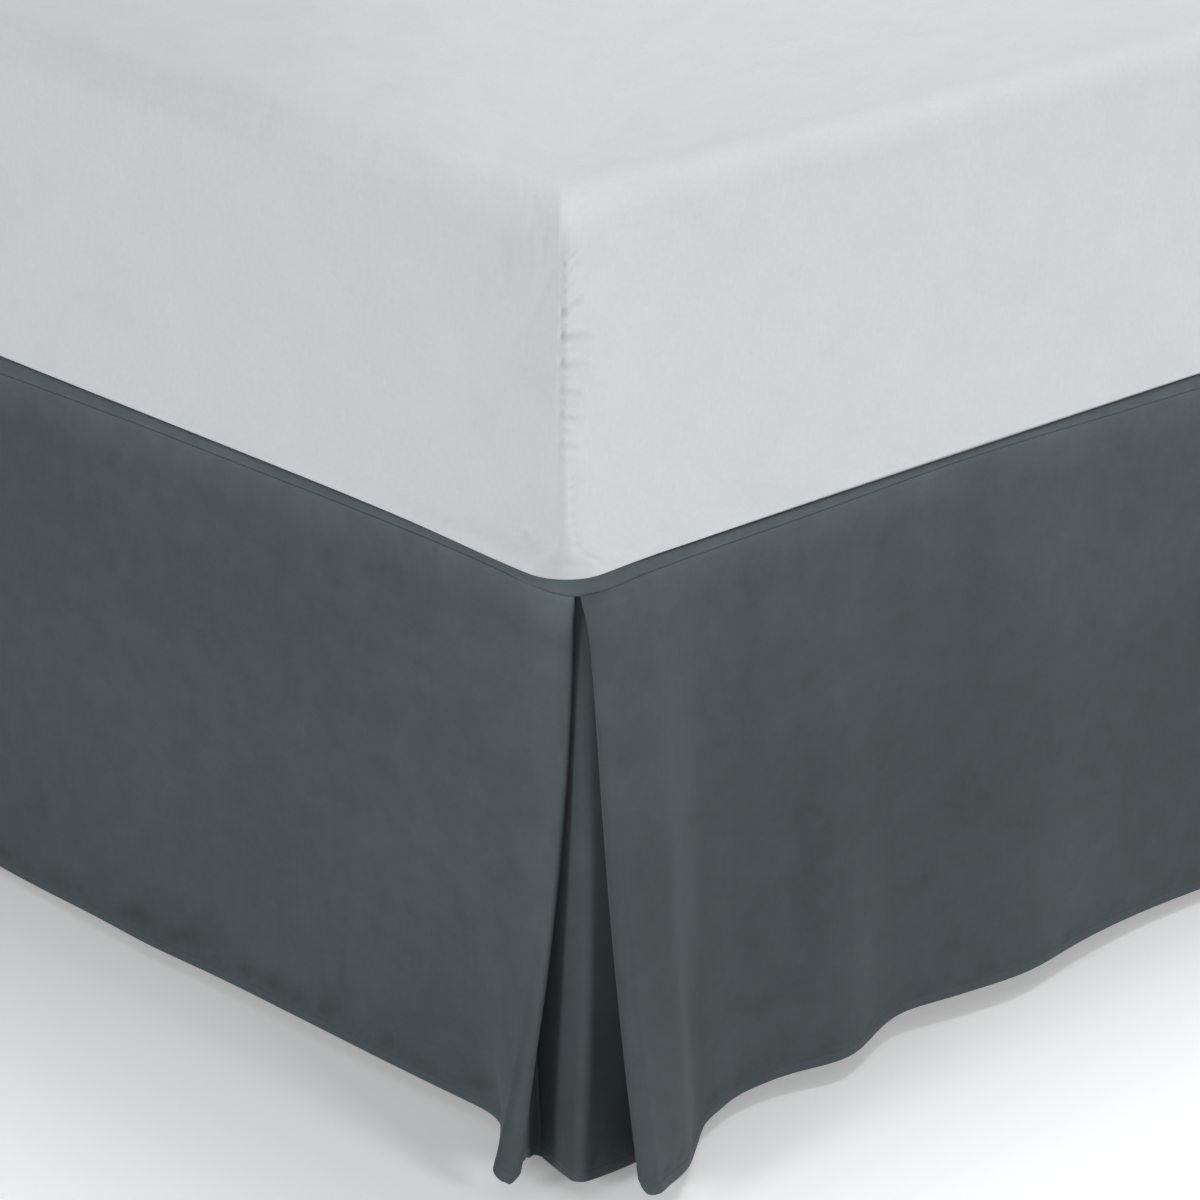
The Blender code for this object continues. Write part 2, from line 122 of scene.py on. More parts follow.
def makeStudio():
    world = bpy.data.worlds.new("studio")
    world.use_nodes = True
    back = world.node_tree.nodes["Background"]
    back.inputs["Color"].default_value = (*studio["worldColour"], 1)
    back.inputs["Strength"].default_value = studio["worldStrength"]
    bpy.context.scene.world = world
    for name, place, aim, size, power, colour in studio["lamps"]:
        data = bpy.data.lights.new(name, "AREA")
        data.shape = "DISK"
        data.size = size
        data.energy = power
        data.color = colour
        lamp = bpy.data.objects.new(name, data)
        lamp.location = place
        lamp.rotation_euler = (Vector(aim) - Vector(place)).to_track_quat("-Z", "Y").to_euler()
        bpy.context.scene.collection.objects.link(lamp)
    bm = bmesh.new()
    bmesh.ops.create_grid(bm, x_segments=1, y_segments=1, size=studio["floorHalf"])
    mesh = bpy.data.meshes.new("floor")
    bm.to_mesh(mesh)
    bm.free()
    material = bpy.data.materials.new("floorPaint")
    material.use_nodes = True
    shader = material.node_tree.nodes["Principled BSDF"]
    shader.inputs["Base Color"].default_value = (*studio["floorColour"], 1)
    shader.inputs["Roughness"].default_value = studio["floorRoughness"]
    shader.inputs["Emission Color"].default_value = (1, 1, 1, 1)
    shader.inputs["Emission Strength"].default_value = studio["floorGlow"]
    mesh.materials.append(material)
    floor = bpy.data.objects.new("floor", mesh)
    bpy.context.scene.collection.objects.link(floor)
    bpy.context.scene.view_settings.view_transform = "Standard"


# ---- shader sums
def rgb(colour):
    return (*colour, 1.0)


class Wire:
    # a shader output that takes part in Python sums
    def __init__(self, tree, socket):
        self.tree = tree
        self.socket = socket

    def node(self, kind, settings=None, inputs=None, output=0):
        made = self.tree.nodes.new(kind)
        for key, value in (settings or {}).items():
            setattr(made, key, value)
        for key, value in (inputs or {}).items():
            if isinstance(value, Wire):
                self.tree.links.new(value.socket, made.inputs[key])
            elif value is not None:
                made.inputs[key].default_value = value
        return Wire(self.tree, made.outputs[output])

    def sum(self, operation, *values):
        return self.node("ShaderNodeMath", {"operation": operation}, dict(enumerate(values)))

    def __add__(self, other):
        return self.sum("ADD", self, other)

    def __radd__(self, other):
        return self.sum("ADD", other, self)

    def __sub__(self, other):
        return self.sum("SUBTRACT", self, other)

    def __rsub__(self, other):
        return self.sum("SUBTRACT", other, self)

    def __mul__(self, other):
        return self.sum("MULTIPLY", self, other)

    def __rmul__(self, other):
        return self.sum("MULTIPLY", other, self)

    def __abs__(self):
        return self.sum("ABSOLUTE", self)

    def cloth(self):
        # metres along and up a cloth, and the painted light and shade stored on it
        return (self.node("ShaderNodeUVMap", {"uv_map": "cloth"}),
                self.node("ShaderNodeAttribute", {"attribute_name": "shade"}, None, 2))

    def sine(self, rate):
        # sine of this value times a rate
        return (self * rate).sum("SINE", self * rate)

    def clamped(self):
        return self.node("ShaderNodeClamp", None, {"Value": self})

    def ramp(self, low, high, toLow=0.0, toHigh=1.0):
        # soft step from toLow to toHigh between low and high
        return self.node("ShaderNodeMapRange", {"interpolation_type": "SMOOTHSTEP"}, {
            "Value": self, "From Min": low, "From Max": high, "To Min": toLow, "To Max": toHigh})

    def scaled(self, factors):
        return self.node("ShaderNodeVectorMath", {"operation": "MULTIPLY"}, {0: self, 1: factors})

    def part(self, axis):
        return self.node("ShaderNodeSeparateXYZ", None, {0: self}, "XYZ".index(axis))

    def noise(self, scale, detail=3.0, roughness=0.5):
        return self.node("ShaderNodeTexNoise", None, {
            "Vector": self, "Scale": scale, "Detail": detail, "Roughness": roughness})

    def mixed(self, one, two):
        # colours mixed by this value
        return self.node("ShaderNodeMix", {"data_type": "RGBA"}, {0: self, 6: rgb(one), 7: rgb(two)}, 2)

    def tinted(self, colour):
        # a colour times this value, up to twice as light
        return (self * 0.5).mixed((0.0, 0.0, 0.0), [2.0 * value for value in colour])

    def bump(self, distance, strength=1.0, under=None):
        return self.node("ShaderNodeBump", None, {
            "Height": self, "Distance": distance, "Strength": strength, "Normal": under})


def startMaterial(name, roughness, settings):
    material = bpy.data.materials.new(name)
    material.use_nodes = True
    shader = material.node_tree.nodes["Principled BSDF"]
    shader.inputs["Roughness"].default_value = roughness
    for key, value in settings.items():
        shader.inputs[key].default_value = value
    return material, shader, Wire(material.node_tree, None)


def feed(shader, **wires):
    names = {"colour": "Base Color", "roughness": "Roughness", "normal": "Normal"}
    for key, wire in wires.items():
        wire.tree.links.new(wire.socket, shader.inputs[names[key]])


# ---- cloth materials
skirtLook = {
    "colour": (0.0640, 0.0785, 0.0845), "roughness": 0.82, "weave": 2500.0, "napScale": (55.0, 14.0, 1.0),
    "cloudScale": 9.0, "blotchScale": 42.0, "grainScale": 420.0, "stitchGapScale": 60.0,
    "bandHeight": 0.0070, "stitchPitch": 0.0031, "bump": 0.00022,
    # painted light and shade on each piece, by the way it is cut: lighter or darker by height above the hem,
    # and lighter or darker stretches along it (at, gain, half width) from the foot corner or the insert's
    # crest. Those in "low" fade out above the hem, by "lowReach"
    "foot": {
        "heights": ((0.0, 1.03), (0.05, 1.03), (0.19, 1.0), (0.345, 1.0), (0.362, 1.12), (0.370, 1.20),
                    (0.3765, 1.36)),
        "stretches": ((-0.020, 0.16, 0.016), (-0.08, 0.04, 0.09), (-0.62, -0.04, 0.14)),
        "low": ((-0.020, -0.26, 0.024),),
    },
    "side": {
        "heights": ((0.0, 0.92), (0.045, 0.89), (0.113, 0.81), (0.19, 0.81), (0.26, 0.91), (0.345, 0.97),
                    (0.362, 1.08), (0.370, 1.17), (0.3765, 1.34)),
        "stretches": ((0.0, 0.05, 0.02), (0.05, 0.04, 0.03), (0.145, -0.025, 0.02), (0.19, 0.02, 0.015),
                      (0.285, -0.08, 0.022), (0.367, -0.06, 0.025), (0.46, 0.05, 0.04), (0.52, 0.01, 0.03)),
        "low": ((0.084, -0.42, 0.026), (0.030, -0.12, 0.03)),
    },
    "insert": {
        "heights": ((0.0, 1.0), (0.08, 0.98), (0.20, 1.14), (0.28, 1.06), (0.38, 1.05)),
        "stretches": ((0.012, 0.10, 0.010),),
        "low": (),
    },
    # the deck's turned edge is counted up from its lower row, painted lighter against the shade under the
    # mattress
    "deck": {"heights": ((0.0, 1.34), (0.4, 1.24), (0.7, 1.25), (1.0, 1.50)), "stretches": (), "low": ()},
    "lowReach": ((0.0, 1.0), (0.06, 0.85), (0.17, 0.0)),
}


def paintedSkirtShade(cut, where, above):
    # painted light and shade of a skirt piece, by height and by stretches along it
    look = skirtLook[cut]
    low = waves(where, look["low"]) * rowShare(skirtLook["lowReach"], above)
    return rowShare(look["heights"], above) * (1 + waves(where, look["stretches"]) + low)


def skirtMaterial():
    # brushed microfibre; the map holds metres along the cloth and above the hem, "shade" its painted light
    # and shade
    look = skirtLook
    material, shader, start = startMaterial("skirtCloth", look["roughness"], {
        "Specular IOR Level": 0.22, "Sheen Weight": 0.10, "Sheen Roughness": 0.45,
        "Sheen Tint": (0.72, 0.84, 0.90, 1.0)})
    place, paintedShade = start.cloth()
    along, above = place.part("X"), place.part("Y")
    nap = place.scaled(look["napScale"]).noise(1.0, 4.0, 0.6) - 0.5
    cloud = place.noise(look["cloudScale"], 2.0, 0.5) - 0.5
    blotch = place.noise(look["blotchScale"], 4.0, 0.72) - 0.5
    grain = place.noise(look["grainScale"], 2.0, 0.7) - 0.5
    threads = (along.sine(look["weave"]) + above.sine(look["weave"])) * 0.25
    edge = above.ramp(0.0016, 0.0002)
    band = above.ramp(look["bandHeight"], look["bandHeight"] - 0.0015)
    gaps = place.noise(look["stitchGapScale"], 2.0).ramp(0.35, 0.65)
    line = abs(above - look["bandHeight"]).ramp(0.0011, 0.0003) * gaps
    stitch = line * along.sine(math.tau / look["stitchPitch"]).ramp(-0.5, 0.3)
    shade = 1.0 + nap * 0.08 + cloud * 0.30 + blotch * 0.46 + grain * 0.08 + edge * 0.12 + band * 0.06
    # the painted light and shade from the attribute scales the cloth's colour
    tone = shade * paintedShade * (1.0 - line * 0.10) * (1.0 + stitch * 0.06)
    relief = grain * 0.6 + threads * 0.3 + nap * 0.4 + stitch * 0.5 - line * 0.4
    feed(shader, colour=tone.tinted(look["colour"]), roughness=look["roughness"] + nap * 0.10 - grain * 0.08,
         normal=relief.bump(look["bump"], 0.55))
    return material


sheetLook = {
    "colour": (0.590, 0.612, 0.618), "roughness": 0.78, "weave": 1500.0, "softScale": 16.0,
    "fuzzScale": 260.0, "rumpleScale": (22.0, 30.0, 1.0), "slubScale": (900.0, 90.0, 1.0),
    "bump": 0.0003, "rumpleBump": 0.0018,
}


def sheetMaterial():
    # plain woven cotton
    look = sheetLook
    material, shader, start = startMaterial("sheetCotton", look["roughness"], {
        "Specular IOR Level": 0.25, "Sheen Weight": 0.05, "Sheen Roughness": 0.5})
    place, paintedShade = start.cloth()
    threads = (place.part("X").sine(look["weave"]) + place.part("Y").sine(look["weave"])) * 0.5
    soft = place.noise(look["softScale"], 4.0, 0.7) - 0.5
    fuzz = place.noise(look["fuzzScale"], 3.0, 0.7) - 0.5
    rumple = place.scaled(look["rumpleScale"]).noise(1.0, 3.0, 0.55) - 0.5
    slub = place.scaled(look["slubScale"]).noise(1.0, 2.0) - 0.5
    # the painted light and shade from the attribute scales the cotton's colour
    tone = paintedShade * (1.0 + soft * 0.12 + slub * 0.06 + fuzz * 0.10)
    under = (rumple + soft).bump(look["rumpleBump"], 0.35)
    feed(shader, colour=tone.tinted(look["colour"]), roughness=look["roughness"] + slub * 0.10,
         normal=(threads * 0.05 + slub * 0.08).bump(look["bump"], 0.5, under))
    return material


# ---- where the cloth hangs
skirt = {
    "drop": 0.3765, "pleatExtra": 0.007, "seam": 0.3885, "midShare": 0.42, "thickness": 0.0014,
    "footSeamDips": metres((-580, 2.2, 130), (-330, -2.8, 120), (140, 4.5, 160), (590, -1, 100)),
    "sideSeamDips": metres((360, -3.8, 130), (700, 2.2, 140), (1020, -3, 160), (1380, 2.6, 150),
                           (1740, -2.4, 140)),
    "cornerSeamDips": metres((2, 5.8, 26), (12, 2.4, 70)),
    "footBase": -0.002, "sideBase": 0.020,
    # at, out, half width
    "footWaves": metres((-600, -3, 60), (-460, 4, 50), (-240, -4, 60), (-50, 5, 70), (140, -4, 70),
                        (355, 3, 55), (670, -3, 50)),
    "rightWaves": metres((228, 14.5, 34), (303, -6.5, 28), (408, 10.5, 55), (560, -5, 80), (745, 8, 55),
                         (890, -7, 45), (1060, 10, 70), (1245, -6.5, 50), (1410, 9, 60), (1600, -6, 55),
                         (1780, 7, 70), (1950, -5, 60)),
    "leftWaves": metres((255, 10, 45), (390, -6, 40), (540, 8.5, 60), (720, -6, 55), (905, 9.5, 60),
                        (1090, -6, 50), (1270, 7.5, 70), (1480, -7, 60), (1670, 9, 55), (1860, -4.5, 70)),
}

# Places along a pleat: 0 its start on the foot, 1 the foot fold, 2 and 4 the valleys with the insert's
# crest between them at 3, 5 the side fold and 6 its end on the side. Its sizes are in millimetres.
pleat = {
    "startP": -150.0, "endQ": 139.0, "topRadius": 1.35, "footFoldU": 0.5, "sideFoldU": 8.0,
    "footValleyU": -51.0, "sideValleyU": 64.0, "crestU": 8.0, "crestDepth": 7.4, "bendU": 60.0, "rollU": 36.0,
    "valleyDepth": 3, "arcStep": math.radians(4),
    # the insert's overlap with the drops and its gap, in places; size of the left one's folds
    "join": 0.14, "joinGap": 0.012, "leftScale": 0.86,
    # the side fold opens early below the seam: how much, within which share of the drop, in which places
    "early": 0.15, "earlyDepth": 0.05, "earlyFrom": 3.5, "earlyOver": 1.5,
    # where the hem of a fold's tip curls up: place, rise, half width
    "tipLifts": ((0.920, 0.0042, 0.045), (1.05, -0.0036, 0.075), (1.36, 0.0080, 0.16), (1.62, 0.0065, 0.15),
                 (4.68, 0.0095, 0.14), (4.88, 0.0135, 0.085), (5.15, 0.0026, 0.12)),
    # name, turn, whether a place lies on it, half height (p, q, radius), hem (p, q, radius)
    "folds": (
        ("foot bend", -1, False, (-62, 1.5, 0), (-72, -27, 35)),
        ("foot fold", 1, True, (-12.8, 4.4, 1.9), (5, -49, 8)),
        ("foot valley", -1, True, (-47, 6.8, 1.6), (-8, -12, 4)),
        ("crest", 1, True, (-0.6, 23.0, 6), (33, -13, 6)),
        ("side valley", -1, True, (15, 55, 3), (41, 33, 4)),
        ("side fold", 1, True, (32.5, 11, 6), (88.5, -7, 7)),
        ("side roll", 1, False, (27, 50, 11), (53, 32, 22)),
        ("side bend", -1, False, (42, 108, 30), (50, 106, 20)),
    ),
}


class Corner:
    # one foot corner: side is 1 on the right and -1 on the left
    def __init__(self, side, hemWaves, foldScale):
        self.side = side
        self.hemWaves = hemWaves
        self.foldScale = foldScale
        self.paths = pleatPaths(self)

    def world(self, p, q):
        return (bed["centreX"] + self.side * (halfWidth + p), bed["footY"] + q)

    def footOut(self, p):
        return skirt["footBase"] + waves(self.side * (halfWidth + p), skirt["footWaves"])

    def sideOut(self, q):
        return skirt["sideBase"] + waves(q, self.hemWaves)


def seamPoint(u, n=0.0):
    radius = bed["corner"]
    if u < -halfArc:
        return (u + halfArc - radius, n)
    if u > halfArc:
        return (-n, u - halfArc + radius)
    angle = u / radius - math.pi / 4
    reach = radius - n
    return (reach * math.cos(angle) - radius, radius + reach * math.sin(angle))


def seamHeight(corner, u):
    p, q = seamPoint(u)
    dips = waves(u, skirt["cornerSeamDips"]) + waves(q, skirt["sideSeamDips"])
    return skirt["seam"] - dips - waves(corner.side * (halfWidth + p), skirt["footSeamDips"])


def beltPath(folds):
    # path laid round folds like a belt round pulleys: its points, runs and the runs where it splits
    heads = []
    for (turnA, _, xa, ya, ra), (turnB, _, xb, yb, rb) in zip(folds, folds[1:]):
        reach = math.hypot(xb - xa, yb - ya)
        heads.append(math.atan2(yb - ya, xb - xa) + math.asin((turnA * ra - turnB * rb) / reach))
    points = [folds[0][2:4]]
    middles = []
    for (turn, split, x, y, radius), headIn, headOut in zip(folds[1:-1], heads, heads[1:]):
        sweep = (turn * (headOut - headIn)) % math.tau if radius else 0.0
        steps = 2 * max(1, math.ceil(sweep / pleat["arcStep"] / 2)) if radius else 0
        for step in range(steps + 1):
            head = headIn + turn * sweep * step / max(steps, 1)
            points.append((x + turn * radius * math.sin(head), y - turn * radius * math.cos(head)))
        if split:
            middles.append(len(points) - 1 - steps // 2)
    points.append(folds[-1][2:4])
    runs = [0.0]
    for a, b in zip(points, points[1:]):
        runs.append(runs[-1] + math.dist(a, b))
    return points, runs, [0.0] + [runs[index] for index in middles] + [runs[-1]]


def runAt(marks, place):
    section = min(int(place), len(marks) - 2)
    return marks[section] + (marks[section + 1] - marks[section]) * (place - section)


def alongPath(path, place):
    points, runs, marks = path
    run = runAt(marks, place)
    index = 1
    while index < len(runs) - 1 and runs[index] < run:
        index += 1
    share = (run - runs[index - 1]) / (runs[index] - runs[index - 1])
    return tuple(a + (b - a) * share for a, b in zip(points[index - 1], points[index]))


def pleatPaths(corner):
    # belt paths at the seam, at half height and at the hem, in millimetres
    r = pleat["topRadius"]
    valley = pleat["valleyDepth"] * r
    tops = {
        "foot bend": (-pleat["bendU"], 0, 0), "foot fold": (pleat["footFoldU"], r, r),
        "foot valley": (pleat["footValleyU"], valley, r), "crest": (pleat["crestU"], pleat["crestDepth"], 0),
        "side valley": (pleat["sideValleyU"], valley, r), "side fold": (pleat["sideFoldU"], r, r),
        "side roll": (pleat["rollU"], 0, 0), "side bend": (pleat["bendU"], 0, 0),
    }
    arcShift = (halfArc - bed["corner"]) * 1000
    footQ = -corner.footOut(pleat["startP"] / 1000) * 1000
    sideP = corner.sideOut(pleat["endQ"] / 1000) * 1000
    levels = [[(1, False, pleat["startP"] - arcShift, 0, 0)],
              [(1, False, pleat["startP"], footQ * skirt["midShare"], 0)],
              [(1, False, pleat["startP"], footQ, 0)]]
    for name, turn, split, mid, hem in pleat["folds"]:
        grown = 1.0 if "bend" in name else corner.foldScale
        for level, place in zip(levels, (tops[name], mid, tuple(value * grown for value in hem))):
            level.append((turn, split) + place)
    levels[0].append((1, False, pleat["endQ"] + arcShift, 0, 0))
    levels[1].append((1, False, sideP * skirt["midShare"], pleat["endQ"], 0))
    levels[2].append((1, False, sideP, pleat["endQ"], 0))
    return [beltPath(level) for level in levels]


rightCorner = Corner(1, skirt["rightWaves"], 1.0)
leftCorner = Corner(-1, skirt["leftWaves"], pleat["leftScale"])


def pleatColumn(corner, place):
    atSeam, atMid, atHem = ([value / 1000 for value in alongPath(path, place)] for path in corner.paths)
    u, n = atSeam
    late = min(max(place - pleat["earlyFrom"], 0.0) / pleat["earlyOver"], 1.0) * min(6.0 - place, 1.0)
    inside = min(place, 1.0) * min(6.0 - place, 1.0)
    marks = corner.paths[1][2]
    start = pleat["startP"] if place < 2.0 else -marks[3] if place < 4.0 else pleat["endQ"] - marks[-1]
    lift = waves(place, pleat["tipLifts"])
    return {
        "where": (start + runAt(marks, place)) / 1000,
        "top": corner.world(*seamPoint(u, n)),
        "mid": corner.world(*atMid),
        "hem": corner.world(*atHem),
        "seam": seamHeight(corner, u), "early": pleat["early"] * late,
        "length": skirt["drop"] + skirt["pleatExtra"] * inside - waves(u, skirt["cornerSeamDips"]) - lift,
    }


def panelColumn(corner, place, onFoot):
    shares = (0.0, skirt["midShare"], 1.0)
    if onFoot:
        spots = [(place, -corner.footOut(place) * share) for share in shares]
        u = place - halfArc + bed["corner"]
    else:
        spots = [(corner.sideOut(place) * share, place) for share in shares]
        u = place + halfArc - bed["corner"]
    top, mid, hem = (corner.world(*spot) for spot in spots)
    return {"top": top, "mid": mid, "hem": hem, "seam": seamHeight(corner, u), "early": 0.0,
            "length": skirt["drop"], "where": place}


def planAt(column, level):
    level += column["early"] * (1 - math.exp(-level / pleat["earlyDepth"])) * (1 - level)
    parts = ((1 - level) * (1 - 2 * level), 4 * level * (1 - level), level * (2 * level - 1))
    return tuple(sum(part * place for part, place in zip(parts, places))
                 for places in zip(column["top"], column["mid"], column["hem"]))


def hungLine(column, downs):
    # points down a column at given distances from the seam, keeping the cloth's length
    last, height = planAt(column, 0.0), column["seam"]
    points = [Vector((*last, height))]
    for before, down in zip(downs, downs[1:]):
        place = planAt(column, down)
        step = (down - before) * column["length"]
        height -= math.sqrt(max(step * step - math.dist(place, last) ** 2, 0.0))
        points.append(Vector((*place, height)))
        last = place
    return points


def graded(anchors):
    # places from the first anchor to the last, each step set by the anchors (place, step) about it
    places = [anchors[0][0]]
    while True:
        here = places[-1]
        for (low, stepLow), (high, stepHigh) in zip(anchors, anchors[1:]):
            if here < high:
                step = stepLow + (stepHigh - stepLow) * (here - low) / (high - low)
                break
        if here + 1.4 * step >= anchors[-1][0]:
            return places + [anchors[-1][0]]
        places.append(here + step)


# ---- cloth pieces
def finishPiece(name, bm, material, node, angle=None):
    mesh = bpy.data.meshes.new(name)
    bm.to_mesh(mesh)
    bm.free()
    mesh.shade_smooth()
    if angle:
        mesh.set_sharp_from_angle(angle=math.radians(angle))
    mesh.materials.append(material)
    piece = bpy.data.objects.new(name, mesh)
    bpy.context.scene.collection.objects.link(piece)
    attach(piece, "root")
    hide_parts(node)
    return piece


def thicken(piece):
    solid = piece.modifiers.new("thickness", "SOLIDIFY")
    solid.thickness = skirt["thickness"]
    solid.offset = 0.0


def closeRound(bm, level):
    # welds where the grid's ends meet and fills the open rims above and below a height
    bmesh.ops.remove_doubles(bm, verts=bm.verts, dist=1e-6)
    for upper in (True, False):
        rim = [edge for edge in bm.edges if edge.is_boundary and (edge.verts[0].co.z > level) == upper]
        bmesh.ops.contextual_create(bm, geom=rim)
    bmesh.ops.recalc_face_normals(bm, faces=bm.faces)


def gridOf(lines):
    # a sheet whose columns are lines of points; returns its bmesh and the grid index of each vertex
    bm = bmesh.new()
    bm.verts.layers.float.new("shade")
    columns, rows = len(lines), len(lines[0])
    bmesh.ops.create_grid(bm, x_segments=columns - 1, y_segments=rows - 1, size=1)
    index = {}
    for vert in bm.verts:
        column = round((vert.co.x + 1) / 2 * (columns - 1))
        row = round((1 - vert.co.y) / 2 * (rows - 1))
        index[vert] = (column, row)
        vert.co = lines[column][row]
    return bm, index


def mapCloth(bm, index, runs, heights):
    # metres along and up the cloth in the piece's own map
    layer = bm.loops.layers.uv.new("cloth")
    for face in bm.faces:
        for loop in face.loops:
            column, row = index[loop.vert]
            loop[layer].uv = (runs[column], heights[row])


hang = {
    # rows down the cloth, as (place, step)
    "downs": ((0.0, 0.0007), (0.003, 0.0009), (0.012, 0.003), (0.04, 0.009), (0.32, 0.009),
              (0.345, 0.0022), (0.367, 0.0007), (0.3715, 0.0006), (0.3765, 0.0012)),
    # relief as (out, half width): tucked in at the seam, rolled out under it, and the hem's stitch line
    "tuck": (-0.0002, 0.0016), "roll": (0.0005, 0.006), "rollAt": 0.0075, "groove": (-0.00025, 0.0009),
    "band": 0.00020, "bandStep": 0.0005, "hemReach": 0.030,
    # the flat panels are eased past the folds: passes, and from how far along the cloth over how far
    "softening": 3, "softFrom": 0.012, "softOver": 0.02,
    # small puckers over the hem: gap and depth, with the least and most of each measure
    "puckerGap": 0.0085, "gapShares": (0.4, 1.7), "puckerDepth": 0.00045, "depthShares": (0.2, 1.4),
    "puckerHeights": (0.009, 0.014), "puckerSlants": (-0.3, 0.8), "puckerWidths": (0.0016, 0.0042),
    # puckerShade darkens a pucker's colour by its depth: painted shade
    "puckerAbove": 0.55, "puckerBelow": 0.30, "puckerNear": 0.06, "puckerShade": 190.0,
    # strong puckers over the foot's hem: place across the bed, height above it, depth, slant, half width
    "footPuckers": (
        (0.060, 0.014, 0.0004, 0.6, 0.020), (0.120, 0.013, 0.0005, 0.6, 0.012),
        (0.176, 0.012, 0.0005, 0.5, 0.006), (0.190, 0.014, 0.0005, 0.5, 0.018),
        (0.209, 0.011, 0.0005, 0.4, 0.004), (0.236, 0.012, 0.0006, 0.4, 0.007),
        (0.262, 0.014, 0.0005, 0.6, 0.020), (0.322, 0.016, 0.0009, 1.0, 0.010),
        (0.337, 0.020, 0.0009, 1.2, 0.011), (0.352, 0.018, 0.0006, 0.8, 0.022),
        (0.385, 0.018, 0.0007, 1.5, 0.010), (0.402, 0.022, 0.0006, 1.4, 0.022),
        (0.447, 0.013, 0.0006, 0.6, 0.006), (0.466, 0.017, 0.0005, 0.7, 0.026),
        (0.476, 0.015, 0.0009, 0.9, 0.009), (0.505, 0.015, 0.0006, 0.3, 0.010),
        (0.529, 0.014, 0.0009, 0.5, 0.008), (0.540, 0.021, 0.0008, 0.7, 0.015),
        (0.549, 0.048, 0.0006, 0.1, 0.005), (0.593, 0.013, 0.0007, 0.4, 0.007),
        (0.605, 0.016, 0.0005, 0.5, 0.022), (0.627, 0.012, 0.0007, 0.5, 0.006),
        (0.661, 0.015, 0.0008, 0.8, 0.008), (0.670, 0.020, 0.0006, 1.0, 0.015),
        (0.690, 0.012, 0.0006, 0.4, 0.005), (0.703, 0.013, 0.0005, 0.4, 0.008)),
}


def puckersFor(last, strong, seed):
    # rows of place, height above the hem, depth, slant, half width
    dice = random.Random(seed)
    rows = list(strong)
    at = 0.0
    while at < last:
        height = dice.uniform(*hang["puckerHeights"])
        depth = hang["puckerDepth"] * dice.uniform(*hang["depthShares"])
        slant = dice.uniform(*hang["puckerSlants"])
        rows.append((at, height, depth, slant, dice.uniform(*hang["puckerWidths"])))
        at += hang["puckerGap"] * dice.uniform(*hang["gapShares"])
    return rows


def hungRelief(down, above):
    # how far the cloth stands out: rolled under the seam, folded band and stitch line at the hem
    out = waves(down, ((hang["rollAt"], *hang["roll"]), (0.0, *hang["tuck"])))
    if above < hang["hemReach"]:
        edge = skirtLook["bandHeight"]
        out += hang["band"] / (1 + math.exp((above - edge) / hang["bandStep"]))
        out += waves(above, ((edge, *hang["groove"]),))
    return out


def puckerDepth(run, above, puckers):
    total = 0.0
    for at, height, depth, slant, width in puckers:
        across = run - at - slant * (above - height)
        if abs(across) < 3 * width and above < 3 * height:
            reach = height * (hang["puckerAbove"] if above > height else hang["puckerBelow"])
            total += depth * bell(across, width) * bell(above - height, reach)
    return total


def makeHung(name, columns, cut, strong, seed, reverse, rests):
    downs = [place / skirt["drop"] for place in graded(hang["downs"])]
    if reverse:
        columns = columns[::-1]
    lines = [hungLine(column, downs) for column in columns]
    soft = [clamped((abs(column["where"]) - hang["softFrom"]) / hang["softOver"]) for column in columns]
    for _ in range(0 if cut == "insert" else hang["softening"]):
        threes = list(zip(lines, lines[1:], lines[2:]))
        for place, three in enumerate(threes, 1):
            means = [(a + b * 2 + c) / 4 for a, b, c in zip(*three)]
            lines[place] = [old.lerp(new, soft[place]) for old, new in zip(lines[place], means)]
    middle = len(downs) // 2
    runs = [0.0]
    for a, b in zip(lines, lines[1:]):
        runs.append(runs[-1] + (a[middle] - b[middle]).length)
    bm, index = gridOf(lines)
    mapCloth(bm, index, runs, [(1 - down) * skirt["drop"] for down in downs])
    bm.normal_update()
    puckers = sorted(puckersFor(runs[-1], strong(columns, runs), seed))
    near = [[row for row in puckers if abs(row[0] - run) < hang["puckerNear"]] for run in runs]
    shade = bm.verts.layers.float["shade"]
    moves = {}
    for vert, (column, row) in index.items():
        down = downs[row] * skirt["drop"]
        above = skirt["drop"] - down
        depth = puckerDepth(runs[column], above, near[column])
        # painted light and shade by piece and height, with painted shade in the puckers
        vert[shade] = paintedSkirtShade(cut, columns[column]["where"], above) * math.exp(-depth * hang["puckerShade"])
        moves[vert] = vert.normal * (hungRelief(down, above) - depth)
    for vert, move in moves.items():
        vert.co += move
    piece = finishPiece(name + "_cloth", bm, materials["skirt"], name)
    thicken(piece)
    print("hung", name, "width", round(runs[-1], 3))


def footEnd(corner):
    places = graded(((0.0, 0.055), (0.80, 0.03), (0.93, 0.008), (1.0, 0.008)))
    places += graded(((1.0, 0.03), (1.22, 0.03), (1.4, 0.07), (1.8, 0.07), (2.0, 0.05)))[1:]
    places += [2.0 + pleat["join"] / 3, 2.0 + pleat["join"]]
    return [pleatColumn(corner, place) for place in places]


def insertColumns(corner):
    first = 2.0 + pleat["join"] + pleat["joinGap"]
    last = 4.0 - pleat["join"] - pleat["joinGap"]
    places = graded(((first, 0.05), (2.8, 0.04), (3.0, 0.03), (3.2, 0.04), (last, 0.05)))
    return [pleatColumn(corner, place) for place in places]


def sideStart(corner):
    places = [4.0 - pleat["join"], 4.0 - pleat["join"] / 3]
    places += graded(((4.0, 0.05), (4.6, 0.06), (4.85, 0.025), (5.0, 0.02)))
    places += graded(((5.0, 0.008), (5.07, 0.01), (5.2, 0.03), (6.0, 0.035)))[1:]
    return [pleatColumn(corner, place) for place in places]


